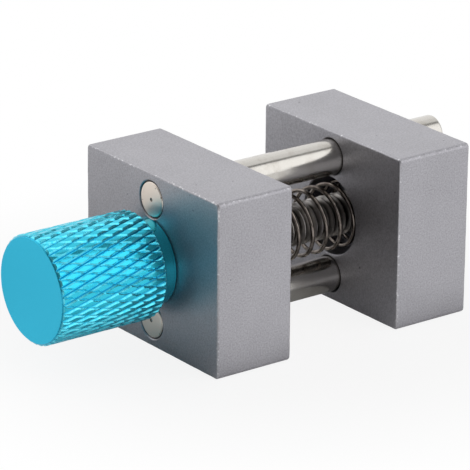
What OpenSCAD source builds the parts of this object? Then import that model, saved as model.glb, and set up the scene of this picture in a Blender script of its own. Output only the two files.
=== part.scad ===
// Mini table vise: a fixed front jaw carries two guide rods, and a knurled knob turns a lead screw
// that draws the rear jaw along the rods against a compression spring.
// Millimetres, +Z up, screw along X with the knob at -X.
// The origin is the middle of the front jaw's underside.

/* [Jaws] */
// Width of each jaw, across the screw
jaw_w = 30; // [20:0.5:60]
// Height of each jaw
jaw_h = 24.6; // [24.2:0.1:40]
// Thickness of each jaw, along the screw
jaw_t = 12.1; // [9:0.1:25]
// Opening between the jaws at rest
jaw_gap = 18.2; // [10:0.1:40]
// Radius that breaks the edges round the faces that the screw passes through
jaw_edge_r = 0.3; // [0.2:0.05:1]
// Radius that breaks the four long edges beside the screw
jaw_corner_r = 0.6; // [0.2:0.05:1]

/* [Guide rods] */
// Diameter of the guide rods
rod_d = 5; // [3:0.1:5.2]
// Metal left between each rod and the jaw's top or bottom face
rod_wall = 1.2; // [0.8:0.1:1.4]
// Length of rod that stands out behind the rear jaw at rest
rod_tail = 6; // [1:0.1:30]
// Bevel on both ends of each rod
rod_bevel = 0.3; // [0.1:0.05:0.8]
// Diameter of the turning mark in the middle of each rod end
rod_mark_d = 0.5; // [0.3:0.1:1.5]
// Radial clearance of the rods in the rear jaw
rod_clearance = 0.05; // [0.02:0.01:0.1]
// Bevel at the mouths of the rod holes
rod_hole_bevel = 0.23; // [0.1:0.01:0.25]

/* [Lead screw] */
// Diameter of the plain shank
shank_d = 6; // [5.95:0.05:7]
// Outside diameter of the thread, less than the shank's
thread_d = 5.9; // [4.5:0.05:5.95]
// Travel of the rear jaw for one turn of the knob
thread_pitch = 1; // [0.75:0.05:1.5]
// Length of screw that stands out behind the rear jaw at rest
screw_tail = 5; // [1:0.1:30]
// Radial clearance of the shank in the front jaw
shank_clearance = 0.05; // [0.02:0.01:0.1]
// Clearance between the thread and the tapped hole, square to their faces
thread_clearance = 0.1; // [0.06:0.01:0.12]
// Bevel at the mouths of the shank's bore and the tapped hole
screw_hole_bevel = 0.4; // [0.1:0.05:0.8]

/* [Knob] */
// Diameter over the knurl
knob_d = 15; // [12.5:0.1:24]
// Length of the knurled grip
grip_l = 16.7; // [8:0.1:30]
// Diameter of the smooth collar that bears on the front jaw
collar_d = 12; // [8:0.1:12.2]
// Length of the collar
collar_l = 2.5; // [1:0.1:6]
// Bevel at both ends of the grip
grip_bevel = 0.35; // [0.2:0.05:1]
// Depth of the knurl's grooves
knurl_depth = 0.3; // [0.1:0.01:0.5]
// Grooves of each hand round the knob
knurl_count = 39; // [20:1:48]
// Distance from one diamond to the next along the knob
knurl_pitch = 4.25; // [2:0.05:6]
// Share of each diamond that stays flat on top
knurl_flat = 0.3; // [0.1:0.05:0.6]
// Distance from the grip's front to the first ring of groove crossings
knurl_start = 0.04; // [0.01:0.01:0.9]
// Angle that the knurl is turned by
knurl_turn = 1.6; // [0:0.1:9]
// Depth of the blind bore that holds the screw, from the collar's end
knob_bore_l = 13; // [4:0.1:14]
// Gap between the collar and the front jaw
collar_gap = 0.05; // [0.02:0.01:0.2]

/* [Return spring] */
// Outside diameter of the spring
spring_d = 9.5; // [8.5:0.1:9.8]
// Diameter of the spring's wire
wire_d = 0.6; // [0.4:0.05:0.7]
// Turns of the spring, with its flat end turns
spring_turns = 12.25; // [6:0.25:14]
// Share of a turn that lies flat on the seat at each end
flat_turns = 0.5; // [0.25:0.05:0.5]
// Angle round the screw at which the wire starts
spring_start = 185; // [0:5:355]
// Depth of the spring's seat in each jaw
seat_l = 4.5; // [2:0.1:6]
// Radial room round the spring in its seat
seat_room = 0.85; // [0.3:0.05:0.95]

/* [Hidden] */
$fn = 64;

// Length by which a cutting tool passes the face that it cuts
over = 1;

// Jaw faces along the screw
front_outer_x = -jaw_t / 2;
front_inner_x = jaw_t / 2;
rear_inner_x = front_inner_x + jaw_gap;
rear_outer_x = rear_inner_x + jaw_t;
axis_z = jaw_h / 2;

// Guide rods
rod_r = rod_d / 2;
rod_offset = axis_z - rod_wall - rod_r;
rod_l = rear_outer_x + rod_tail - front_outer_x;
rod_mark_r = rod_mark_d / 2;

// Spring seats
seat_r = spring_d / 2 + seat_room;
front_seat_x = front_inner_x - seat_l;
rear_seat_x = rear_inner_x + seat_l;

// Knob
knob_r = knob_d / 2;
grip_end_r = knob_r - grip_bevel;
collar_end_x = front_outer_x - collar_gap;
grip_back_x = collar_end_x - collar_l;
grip_front_x = grip_back_x - grip_l;
// Rows of groove crossings, half a diamond apart, with two to spare beyond each end of the grip
knurl_step = knurl_pitch / 2;
knurl_rows = ceil(grip_l / knurl_step) + 4;

// Lead screw: a metric thread of 60 degrees, with its crest an eighth of the pitch wide
shank_r = shank_d / 2;
shank_front_x = collar_end_x - knob_bore_l;
thread_r = thread_d / 2;
thread_depth = 0.6134 * thread_pitch;
thread_root_r = thread_r - thread_depth;
thread_crest_half = thread_pitch / 16;
thread_root_half = thread_crest_half + thread_depth * tan(30);
thread_profile = [
    [-thread_root_half, thread_root_r],
    [-thread_crest_half, thread_r],
    [thread_crest_half, thread_r],
    [thread_root_half, thread_root_r],
];
// The tapped hole's profile is the thread's, moved out by the clearance
tap_spread = thread_clearance * (1 / cos(30) - tan(30));
tap_profile = [
    for (p = thread_profile) [p[0] + sign(p[0]) * tap_spread, p[1] + thread_clearance]
];
thread_sides = 20;
// Length of screw solid beyond each end of the stretch that is used
thread_run_on = 1.6 * thread_pitch;
screw_tip_x = rear_outer_x + screw_tail;
tip_r = thread_root_r - thread_depth / 2;

// Return spring, along the screw from seat to seat
wire_r = wire_d / 2;
coil_r = spring_d / 2 - wire_r;
spring_rise = rear_seat_x - front_seat_x - wire_d;
coil_pitch = spring_rise / (spring_turns - 2 * flat_turns);
wire_sides = 6;
curl_rings = 8;
spring_rings = ceil(spring_turns * curl_rings);

// A point's height above the first seat's wire centre, after t turns
function spring_height(t) = coil_pitch * min(max(t - flat_turns, 0), spring_turns - 2 * flat_turns);

// The wire's slope at t turns: level on the seats, and the same in between
function spring_slope(t) =
    t > flat_turns && t < spring_turns - flat_turns ? atan(coil_pitch / (2 * PI * coil_r)) : 0;

function spring_centre(t) =
    let (a = spring_start + 360 * t)
    [coil_r * cos(a), coil_r * sin(a), wire_r + spring_height(t)];

// The wire's direction at t turns
function spring_way(t) =
    let (a = spring_start + 360 * t, s = spring_slope(t))
    [-sin(a) * cos(s), cos(a) * cos(s), sin(s)];

// One ring of the wire round a centre, square to the wire at t turns
function wire_ring(centre, t) =
    let (a = spring_start + 360 * t)
    let (outward = [cos(a), sin(a), 0])
    let (upward = cross(outward, spring_way(t)))
    [for (i = [0 : wire_sides - 1])
        let (b = 360 * i / wire_sides)
        centre + wire_r * (cos(b) * outward + sin(b) * upward)];

// Least gap of the wire to itself, between points more than half a turn apart
spring_points = [for (i = [0 : 2 * spring_rings]) spring_centre(spring_turns * i / (2 * spring_rings))];
spring_least_gap = min([
    for (i = [0 : len(spring_points) - 1])
        for (j = [i + curl_rings + 1 : 1 : len(spring_points) - 1])
            norm(spring_points[i] - spring_points[j])
]) - wire_d;
echo(spring_least_gap = spring_least_gap);

// Turns what is modelled along Z on to the screw's axis, starting at x
module along_screw(x) {
    translate([x, 0, axis_z]) rotate([0, 90, 0]) children();
}

// A rectangle with round corners, in the middle
module round_rectangle(size, r) {
    square([size[0] - 2 * r, size[1]], center = true);
    square([size[0], size[1] - 2 * r], center = true);
    for (x = [-1, 1], y = [-1, 1]) {
        translate([x * (size[0] / 2 - r), y * (size[1] / 2 - r)]) circle(r);
    }
}

// A jaw's block with all its edges broken, in the middle
module jaw_block() {
    intersection() {
        linear_extrude(jaw_h, center = true)
            round_rectangle([jaw_t, jaw_w], jaw_edge_r);
        rotate([90, 0, 0]) linear_extrude(jaw_w, center = true)
            round_rectangle([jaw_t, jaw_h], jaw_edge_r);
        rotate([0, 90, 0]) linear_extrude(jaw_t, center = true)
            round_rectangle([jaw_h, jaw_w], jaw_corner_r);
    }
}

// A hole's tool along Z from 0 to l, with a bevel at both mouths
module bevelled_hole(r, l, bevel) {
    rotate_extrude() polygon([
        [0, -over], [r + bevel + over, -over], [r, bevel],
        [r, l - bevel], [r + bevel + over, l + over], [0, l + over]
    ]);
}

// Both rod holes through a jaw whose first face is at x
module rod_holes(x, r) {
    for (side = [-1, 1]) {
        translate([0, 0, side * rod_offset]) along_screw(x) bevelled_hole(r, jaw_t, rod_hole_bevel);
    }
}

// A right-hand screw's solid along Z: a profile of four [height, radius] points that winds up by steps,
// where shape(r, z) limits the radius r of a point at height z
module screw_solid(z0, steps, profile, shape) {
    turn0 = 360 * z0 / thread_pitch;
    rise = thread_pitch / thread_sides;
    n = thread_sides;
    spiral = [
        for (k = [0 : steps], p = profile)
            let (z = z0 + k * rise + p[0], r = shape(p[1], z), a = turn0 + 360 * k / n)
            [r * cos(a), r * sin(a), z]
    ];
    first = len(spiral);
    last = first + 1;
    ends = [
        [0, 0, z0 + profile[0][0] - thread_pitch / 4],
        [0, 0, z0 + steps * rise + profile[3][0] + thread_pitch / 4],
    ];
    flanks = [
        for (k = [0 : steps - 1], j = [0 : 2], half = [0, 1])
            half == 0
                ? [4 * k + j, 4 * k + j + 1, 4 * k + j + 5]
                : [4 * k + j, 4 * k + j + 5, 4 * k + j + 4]
    ];
    roots = [
        for (k = [0 : steps - n - 1], half = [0, 1])
            half == 0
                ? [4 * k + 3, 4 * (k + n), 4 * (k + n + 1)]
                : [4 * k + 3, 4 * (k + n + 1), 4 * k + 7]
    ];
    first_rim = [for (k = [0 : n]) 4 * k, for (j = [3 : -1 : 0]) j];
    last_rim = [for (k = [steps : -1 : steps - n]) 4 * k + 3, for (j = [0 : 3]) 4 * steps + j];
    caps = [
        for (i = [0 : len(first_rim) - 2]) [first, first_rim[i], first_rim[i + 1]],
        for (i = [0 : len(last_rim) - 2]) [last, last_rim[i], last_rim[i + 1]],
    ];
    polyhedron(concat(spiral, ends), concat(flanks, roots, caps));
}

// Steps of a screw's solid that has its full section from one height to another
function screw_steps(from, to) = ceil(thread_sides * (to - from) / thread_pitch);

module front_jaw() {
    color([0.68, 0.68, 0.70]) difference() {
        translate([0, 0, axis_z]) jaw_block();
        rod_holes(front_outer_x, rod_r);
        along_screw(front_outer_x)
            bevelled_hole(shank_r + shank_clearance, jaw_t - seat_l, screw_hole_bevel);
        along_screw(front_seat_x) cylinder(r = seat_r, h = seat_l + over);
    }
}

// The tapped hole opens into the spring's seat and widens at the outer face
module tapped_hole() {
    start_x = rear_seat_x - thread_run_on;
    end_x = rear_outer_x + thread_run_on;
    mouth_r = thread_r + thread_clearance + screw_hole_bevel;
    along_screw(0)
        screw_solid(start_x, screw_steps(start_x, end_x), tap_profile,
            function (r, x) max(r, mouth_r - (rear_outer_x - x)));
}

module rear_jaw() {
    color([0.68, 0.68, 0.70]) difference() {
        translate([rear_inner_x + jaw_t / 2, 0, axis_z]) jaw_block();
        rod_holes(rear_inner_x, rod_r + rod_clearance);
        along_screw(rear_seat_x) mirror([0, 0, 1]) cylinder(r = seat_r, h = seat_l + over);
        tapped_hole();
    }
}

module guide_rod(side) {
    translate([0, 0, side * rod_offset]) along_screw(front_outer_x) rotate_extrude() polygon([
        [0, rod_mark_r], [rod_mark_r, 0], [rod_r - rod_bevel, 0], [rod_r, rod_bevel],
        [rod_r, rod_l - rod_bevel], [rod_r - rod_bevel, rod_l], [rod_mark_r, rod_l], [0, rod_l - rod_mark_r]
    ]);
}

module upper_guide_rod() {
    color([0.80, 0.79, 0.77]) guide_rod(1);
}

module lower_guide_rod() {
    color([0.80, 0.79, 0.77]) guide_rod(-1);
}

// The thread starts inside the shank and is cut square at the tip, which tapers
module lead_screw() {
    start_x = front_seat_x - thread_run_on;
    end_x = screw_tip_x + thread_run_on;
    color([0.45, 0.45, 0.46]) union() {
        along_screw(shank_front_x) cylinder(r = shank_r, h = front_seat_x - shank_front_x);
        difference() {
            along_screw(0)
                screw_solid(start_x, screw_steps(start_x, end_x), thread_profile,
                    function (r, x) min(r, tip_r + screw_tip_x - x));
            along_screw(screw_tip_x) cylinder(r = shank_r, h = 2 * thread_run_on);
        }
    }
}

// A point of the knurl, by its row along Z and its column of half diamonds round the knob
function knurl_point(row, column, r) =
    let (a = knurl_turn + 180 * column / knurl_count)
    [r * cos(a), r * sin(a), knurl_start + (row - 2) * knurl_step];

// The knurl along Z: grooves of both hands cross at the hollows and leave flat-topped diamonds between,
// and the bevelled grip cuts its ends off
module knurled_grip() {
    n = knurl_count;
    hollow_r = knob_r - knurl_depth;
    flat = knurl_flat;
    hollows = [
        for (row = [0 : knurl_rows - 1], i = [0 : n - 1]) knurl_point(row, 2 * i + row % 2, hollow_r)
    ];
    tops = [
        for (row = [1 : knurl_rows - 2], i = [0 : n - 1])
            let (column = 2 * i + row % 2 + 1)
            each [
                knurl_point(row, column - flat, knob_r), knurl_point(row - flat, column, knob_r),
                knurl_point(row, column + flat, knob_r), knurl_point(row + flat, column, knob_r)
            ]
    ];
    first = len(hollows) + len(tops);
    ends = [knurl_point(0, 0, 0), knurl_point(knurl_rows - 1, 0, 0)];
    // A diamond's corners are the hollows before, below, after and above it
    function corners(row, i) =
        let (side = (i + row % 2) % n)
        [row * n + i, (row - 1) * n + side, row * n + (i + 1) % n, (row + 1) * n + side];
    function top(row, i) = let (t = len(hollows) + 4 * ((row - 1) * n + i)) [t, t + 1, t + 2, t + 3];
    diamonds = [
        for (row = [1 : knurl_rows - 2], i = [0 : n - 1])
            let (c = corners(row, i), t = top(row, i))
            each concat(
                [[t[0], t[3], t[1]], [t[1], t[3], t[2]]],
                [for (k = [0 : 3]) [c[k], t[k], c[(k + 1) % 4]]],
                [for (k = [0 : 3]) [t[k], t[(k + 1) % 4], c[(k + 1) % 4]]]
            )
    ];
    caps = [
        for (i = [0 : n - 1])
            let (c = corners(1, i), d = corners(knurl_rows - 2, i))
            each [
                [first, c[0], c[1]], [first, c[1], c[2]],
                [first + 1, d[2], d[3]], [first + 1, d[3], d[0]]
            ]
    ];
    intersection() {
        polyhedron(concat(hollows, tops, ends), concat(diamonds, caps));
        rotate_extrude() polygon([
            [0, 0], [grip_end_r, 0], [knob_r + over, grip_bevel + over],
            [knob_r + over, grip_l - grip_bevel - over], [grip_end_r, grip_l], [0, grip_l]
        ]);
    }
}

module knob() {
    color([0.10, 0.55, 0.78]) difference() {
        union() {
            along_screw(grip_front_x) knurled_grip();
            along_screw(grip_back_x - over) cylinder(d = collar_d, h = collar_l + over);
        }
        along_screw(shank_front_x) cylinder(r = shank_r, h = knob_bore_l + over);
    }
}

// One unbroken wire whose two ends run straight on for one wire diameter
module return_spring() {
    turns = [for (i = [0 : spring_rings]) spring_turns * i / spring_rings];
    rings = concat(
        [wire_ring(spring_centre(0) - wire_d * spring_way(0), 0)],
        [for (t = turns) wire_ring(spring_centre(t), t)],
        [wire_ring(spring_centre(spring_turns) + wire_d * spring_way(spring_turns), spring_turns)]
    );
    n = wire_sides;
    count = len(rings);
    sides = [
        for (k = [0 : count - 2], i = [0 : n - 1], half = [0, 1])
            let (next = (i + 1) % n)
            half == 0
                ? [k * n + i, (k + 1) * n + i, (k + 1) * n + next]
                : [k * n + i, (k + 1) * n + next, k * n + next]
    ];
    first_end = [for (i = [1 : n - 2]) [0, i, i + 1]];
    last_end = [for (i = [1 : n - 2]) [for (v = [0, i + 1, i]) (count - 1) * n + v]];
    color([0.78, 0.78, 0.80]) along_screw(front_seat_x)
        polyhedron([for (r = rings) each r], concat(sides, first_end, last_end));
}

front_jaw();
rear_jaw();
upper_guide_rod();
lower_guide_rod();
lead_screw();
knob();
return_spring();
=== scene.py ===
"""Looks of a mini table vise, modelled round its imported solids.

The solids set every size and place. Each class below models one sub-assembly as finer meshes in the same
frame and dresses them in procedural finishes, and the studio sets the floor, lamps, world and camera.
Lengths are in metres: +X runs along the screw from the knob to the rear jaw, -Y faces the viewer, +Z is up.
"""

import logging
import math
from dataclasses import dataclass
from enum import Enum
from typing import Any, Callable, Iterable, Sequence

import bmesh
import bpy
from mathutils import Matrix, Vector, noise


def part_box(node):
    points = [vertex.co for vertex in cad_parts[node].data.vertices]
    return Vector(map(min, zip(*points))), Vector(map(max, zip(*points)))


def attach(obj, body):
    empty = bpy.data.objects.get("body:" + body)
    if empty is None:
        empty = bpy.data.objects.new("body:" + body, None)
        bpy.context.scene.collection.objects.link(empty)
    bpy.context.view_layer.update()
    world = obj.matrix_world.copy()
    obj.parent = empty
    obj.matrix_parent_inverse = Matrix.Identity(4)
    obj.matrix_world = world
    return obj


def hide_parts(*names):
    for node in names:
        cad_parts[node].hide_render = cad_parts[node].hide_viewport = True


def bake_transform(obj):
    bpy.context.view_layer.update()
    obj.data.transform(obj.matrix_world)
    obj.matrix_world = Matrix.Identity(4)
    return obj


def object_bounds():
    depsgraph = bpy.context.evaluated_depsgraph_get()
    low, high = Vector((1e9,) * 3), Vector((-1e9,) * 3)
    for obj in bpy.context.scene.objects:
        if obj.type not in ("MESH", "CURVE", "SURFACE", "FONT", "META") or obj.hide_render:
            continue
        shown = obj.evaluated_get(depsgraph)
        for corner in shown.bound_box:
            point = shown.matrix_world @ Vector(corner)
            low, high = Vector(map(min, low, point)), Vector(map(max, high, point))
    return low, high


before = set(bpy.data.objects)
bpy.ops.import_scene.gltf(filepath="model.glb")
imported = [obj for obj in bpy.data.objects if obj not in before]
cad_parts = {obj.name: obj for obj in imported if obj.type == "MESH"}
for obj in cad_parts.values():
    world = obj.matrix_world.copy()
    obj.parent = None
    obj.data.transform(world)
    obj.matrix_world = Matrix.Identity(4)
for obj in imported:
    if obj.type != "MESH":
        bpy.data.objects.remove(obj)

CAD_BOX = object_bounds()
MM = 0.001
TURN = 2 * math.pi
QUARTER_TURN = TURN / 4
NOISE_MIDDLE = 0.5
LOG = logging.getLogger("vise")

Colour = tuple[float, float, float]
Place = tuple[float, float, float]
Band = tuple[float, float]
Spots = tuple[float, float, float]
Points = list[Vector]
Loop = list[bmesh.types.BMVert]
Radius = float | Callable[[float], float]
Station = tuple[float, Radius]


class Body(Enum):
    """The bodies that the pieces ride on."""

    FIXED_JAW = "fixed_jaw"
    MOVING_JAW = "moving_jaw"
    KNOB_AND_SCREW = "knob_and_screw"


class Slot(Enum):
    """The record's material slots."""

    JAW = "jaw_anodised"
    ROD = "rod_polished"
    SCREW = "screw_steel"
    KNOB = "knob_blue"
    SPRING = "spring_wire"


class SeatSide(Enum):
    """The side of a jaw that the spring's seat opens on."""

    REAR = "rear"
    FRONT = "front"


class Value:
    """An output socket, with operators that add Math nodes."""

    def __init__(self, graph: "Graph", socket: bpy.types.NodeSocket | None) -> None:
        """Keeps the socket and the graph that it is in."""
        self.graph = graph
        self.socket = socket

    def output(self, name: str) -> "Value":
        """Another output of the same node."""
        return Value(self.graph, self.socket.node.outputs[name])

    def __add__(self, other: "Value | float") -> "Value":
        """The sum."""
        return self.graph.math("ADD", self, other)

    __radd__ = __add__

    def __sub__(self, other: "Value | float") -> "Value":
        """The difference."""
        return self.graph.math("SUBTRACT", self, other)

    def __rsub__(self, other: float) -> "Value":
        """The difference, with self taken away."""
        return self.graph.math("SUBTRACT", other, self)

    def __mul__(self, other: "Value | float") -> "Value":
        """The product."""
        return self.graph.math("MULTIPLY", self, other)

    __rmul__ = __mul__

    def __abs__(self) -> "Value":
        """The size without its sign."""
        return self.graph.math("ABSOLUTE", self)

    def __lt__(self, other: "Value | float") -> "Value":
        """1 where self is below other, and 0 elsewhere."""
        return self.graph.math("LESS_THAN", self, other)

    def least(self, other: "Value | float") -> "Value":
        """The lesser of two values."""
        return self.graph.math("MINIMUM", self, other)

    def most(self, other: "Value | float") -> "Value":
        """The greater of two values."""
        return self.graph.math("MAXIMUM", self, other)

    def step(self, low: float, high: float) -> "Value":
        """A smooth step: 0 at low, 1 at high, and level beyond them.

        Args:
            low: Where the step starts; it may be above high.
            high: Where the step ends.

        Returns:
            The step's value, from 0 to 1.
        """
        ends = {"Value": self, "From Min": low, "From Max": high}
        return self.graph.node("ShaderNodeMapRange", {"interpolation_type": "SMOOTHSTEP"}, ends)


class Graph:
    """The node tree of a material or of the world."""

    MIX_FACTOR = 0
    MIX_LOW = 6
    MIX_HIGH = 7
    MIX_RESULT = 2
    SPOT_CORE = 0.5

    def __init__(self, tree: bpy.types.NodeTree) -> None:
        """Empties the tree."""
        self.tree = tree
        tree.nodes.clear()

    def node(
        self,
        kind: str,
        settings: dict[str, Any] | None = None,
        sockets: dict[str | int, Any] | None = None,
        output: str | int = 0,
    ) -> Value:
        """Adds any node.

        Args:
            kind: The node's type.
            settings: Its settings, set before its sockets.
            sockets: A number, a tuple or a Value for each input, by name or by place.
            output: The output that is returned.

        Returns:
            That output, or an empty value where the node has none.
        """
        made = self.tree.nodes.new(kind)
        for name, setting in (settings or {}).items():
            setattr(made, name, setting)
        for key, value in (sockets or {}).items():
            if isinstance(value, Value):
                self.tree.links.new(value.socket, made.inputs[key])
            else:
                made.inputs[key].default_value = value
        return Value(self, made.outputs[output] if made.outputs else None)

    def math(self, operation: str, *values: "Value | float") -> Value:
        """A Math node on one or two values."""
        return self.node("ShaderNodeMath", {"operation": operation}, dict(enumerate(values)))

    def vector_math(self, operation: str, *vectors: "Value | Place", output: str = "Vector") -> Value:
        """A Vector Math node on one or two vectors."""
        sockets = dict(enumerate(vectors))
        return self.node("ShaderNodeVectorMath", {"operation": operation}, sockets, output)

    def mix(self, factor: Value, low: "Value | Colour", high: "Value | Colour") -> Value:
        """Mixes two colours.

        Args:
            factor: 0 for the first colour and 1 for the second.
            low: The first colour.
            high: The second colour.

        Returns:
            The mixed colour.
        """
        first, second = (c if isinstance(c, Value) else (*c, 1.0) for c in (low, high))
        sockets = {self.MIX_FACTOR: factor, self.MIX_LOW: first, self.MIX_HIGH: second}
        return self.node("ShaderNodeMix", {"data_type": "RGBA"}, sockets, self.MIX_RESULT)

    def place_mm(self) -> Value:
        """The place on a piece, in millimetres of the row frame at rest."""
        return self.vector_math("MULTIPLY", self.node("ShaderNodeTexCoord", output="Object"), (1 / MM,) * 3)

    def xyz(self, place: Value) -> tuple[Value, Value, Value]:
        """The three parts of a place."""
        parts = self.node("ShaderNodeSeparateXYZ", None, {"Vector": place})
        return parts, parts.output("Y"), parts.output("Z")

    def axis_distance(self, place: Value, axis_z: float) -> Value:
        """The distance from a line along X at a height, in millimetres.

        Args:
            place: The place, in millimetres.
            axis_z: The line's height, in metres.

        Returns:
            The distance.
        """
        across = self.vector_math("MULTIPLY", place, (0.0, 1.0, 1.0))
        return self.vector_math("DISTANCE", across, (0.0, 0.0, axis_z / MM), output="Value")

    def noise(self, place: Value, per_mm: "float | Place", detail: float = 3.0) -> Value:
        """Smooth noise about one half.

        Args:
            place: Where it is read.
            per_mm: Features in a millimetre, alike along all axes or one number for each.
            detail: How many finer layers it has.

        Returns:
            The noise, from 0 to 1.
        """
        scale = per_mm if isinstance(per_mm, tuple) else (per_mm,) * 3
        sockets = {"Vector": self.vector_math("MULTIPLY", place, scale), "Scale": 1.0, "Detail": detail}
        return self.node("ShaderNodeTexNoise", None, sockets)

    def spots(self, place: Value, spacing: float, radius: float, share: float) -> Value:
        """Small round spots in some cells of a random grid.

        Args:
            place: Where they are read, in millimetres.
            spacing: Distance between the cells, in millimetres.
            radius: Radius of a spot, in millimetres.
            share: Share of the cells that have one.

        Returns:
            1 inside a spot and 0 outside.
        """
        sockets = {"Vector": place, "Scale": 1 / spacing}
        distance = self.node("ShaderNodeTexVoronoi", None, sockets)
        dice = self.node("ShaderNodeSeparateColor", None, {"Color": distance.output("Color")})
        return distance.step(radius / spacing, self.SPOT_CORE * radius / spacing) * (dice < share)

    def bump(self, height: Value) -> Value:
        """The normal of a bump whose height is in millimetres."""
        return self.node("ShaderNodeBump", None, {"Height": height, "Distance": MM, "Strength": 1.0})

    def mix_shader(self, factor: Value, first: Value, second: Value) -> Value:
        """Mixes two shaders: 0 gives the first and 1 the second."""
        return self.node("ShaderNodeMixShader", None, dict(enumerate((factor, first, second))))

    def surface(self, shader: Value) -> None:
        """Links a shader to the material's output."""
        self.node("ShaderNodeOutputMaterial", None, {"Surface": shader})

    def principled(self, sockets: dict[str, Any]) -> None:
        """Adds a Principled shader as the material's surface."""
        self.surface(self.node("ShaderNodeBsdfPrincipled", None, sockets))


@dataclass(frozen=True)
class Finish:
    """A procedural finish. Each kind paints its own nodes."""

    name: str

    def material(self) -> bpy.types.Material:
        """Makes a material with this finish.

        Returns:
            The material.
        """
        made = bpy.data.materials.new(self.name)
        made.use_nodes = True
        self.paint(Graph(made.node_tree))
        return made

    def paint(self, graph: Graph) -> None:
        """Adds the finish's nodes to a material."""
        raise NotImplementedError


@dataclass(frozen=True)
class GreyAnodised(Finish):
    """Bead-blasted aluminium under a grey anodised skin, with pits, rubbed edges and painted shade round the
    rods.
    """

    low: Place
    high: Place
    rod_places: Sequence[float]
    rod_r: float
    dark: Colour = (0.322, 0.316, 0.339)
    light: Colour = (0.482, 0.475, 0.507)
    pit: Colour = (0.10, 0.10, 0.11)
    bare: Colour = (0.78, 0.78, 0.80)
    # Near-black painted shade for the ring round each rod's hole.
    hole_shade: Colour = (0.035, 0.033, 0.032)
    pit_share: float = 0.8
    bare_share: float = 0.8
    hole_shade_share: float = 0.75
    grain_per_mm: float = 4.6
    grain_tone: float = 2.4
    grain_height: float = 0.009
    cloud_per_mm: float = 0.14
    cloud_tone: float = 0.5
    small_pits: Spots = (2.1, 0.13, 0.5)
    large_pits: Spots = (4.6, 0.22, 0.45)
    pit_depth: float = 0.03
    thin_rub: Band = (0.22, 0.06)
    thin_rub_share: float = 0.35
    wide_rub: Band = (0.34, 0.14)
    patches_per_mm: float = 2.6
    patches: Band = (0.58, 0.65)
    hole_shade_reach: Band = (0.2, 0.1)
    metallic: float = 0.93
    roughness: float = 0.43
    grain_roughness: float = 0.12
    rub_polish: float = 0.08

    def edge_distance(self, graph: Graph, place: Value) -> Value:
        """The distance to the nearest edge of the block, in millimetres.

        Args:
            graph: The material's nodes.
            place: The place on the block, in millimetres.

        Returns:
            The second least of the distances to its three pairs of faces.
        """
        middle = [(a + b) / 2 / MM for a, b in zip(self.low, self.high)]
        half = [(b - a) / 2 / MM for a, b in zip(self.low, self.high)]
        x, y, z = (h - abs(p - m) for p, m, h in zip(graph.xyz(place), middle, half))
        return x.least(y).most(x.most(y).least(z))

    def paint(self, graph: Graph) -> None:
        """Adds grain, cloudy tone, pits, rubbed edges and painted shade in the mouths of the rods' holes.

        Args:
            graph: The material's nodes.
        """
        place = graph.place_mm()
        grain = graph.noise(place, self.grain_per_mm)
        cloud = graph.noise(place, self.cloud_per_mm)
        patches = graph.noise(place, self.patches_per_mm).step(*self.patches)
        pits = graph.spots(place, *self.small_pits).most(graph.spots(place, *self.large_pits))
        edge = self.edge_distance(graph, place)
        rubbed = (edge.step(*self.thin_rub) * self.thin_rub_share).most(edge.step(*self.wide_rub) * patches)
        # Painted shade: a near-black ring on the jaw just round each rod's hole, where the gap round the rod
        # lies in shadow.
        upper, lower = (graph.axis_distance(place, z) for z in self.rod_places)
        mouths = upper.least(lower).step(*(self.rod_r / MM + reach for reach in self.hole_shade_reach))
        swing = grain - NOISE_MIDDLE
        tone = NOISE_MIDDLE + self.grain_tone * swing + self.cloud_tone * (cloud - NOISE_MIDDLE)
        skin = graph.mix(pits * self.pit_share, graph.mix(tone, self.dark, self.light), self.pit)
        worn = graph.mix(rubbed * self.bare_share, skin, self.bare)
        graph.principled({
            "Base Color": graph.mix(mouths * self.hole_shade_share, worn, self.hole_shade),
            "Metallic": self.metallic,
            "Roughness": self.roughness + self.grain_roughness * swing - self.rub_polish * rubbed,
            "Normal": graph.bump(self.grain_height * grain - self.pit_depth * pits),
        })


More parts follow.
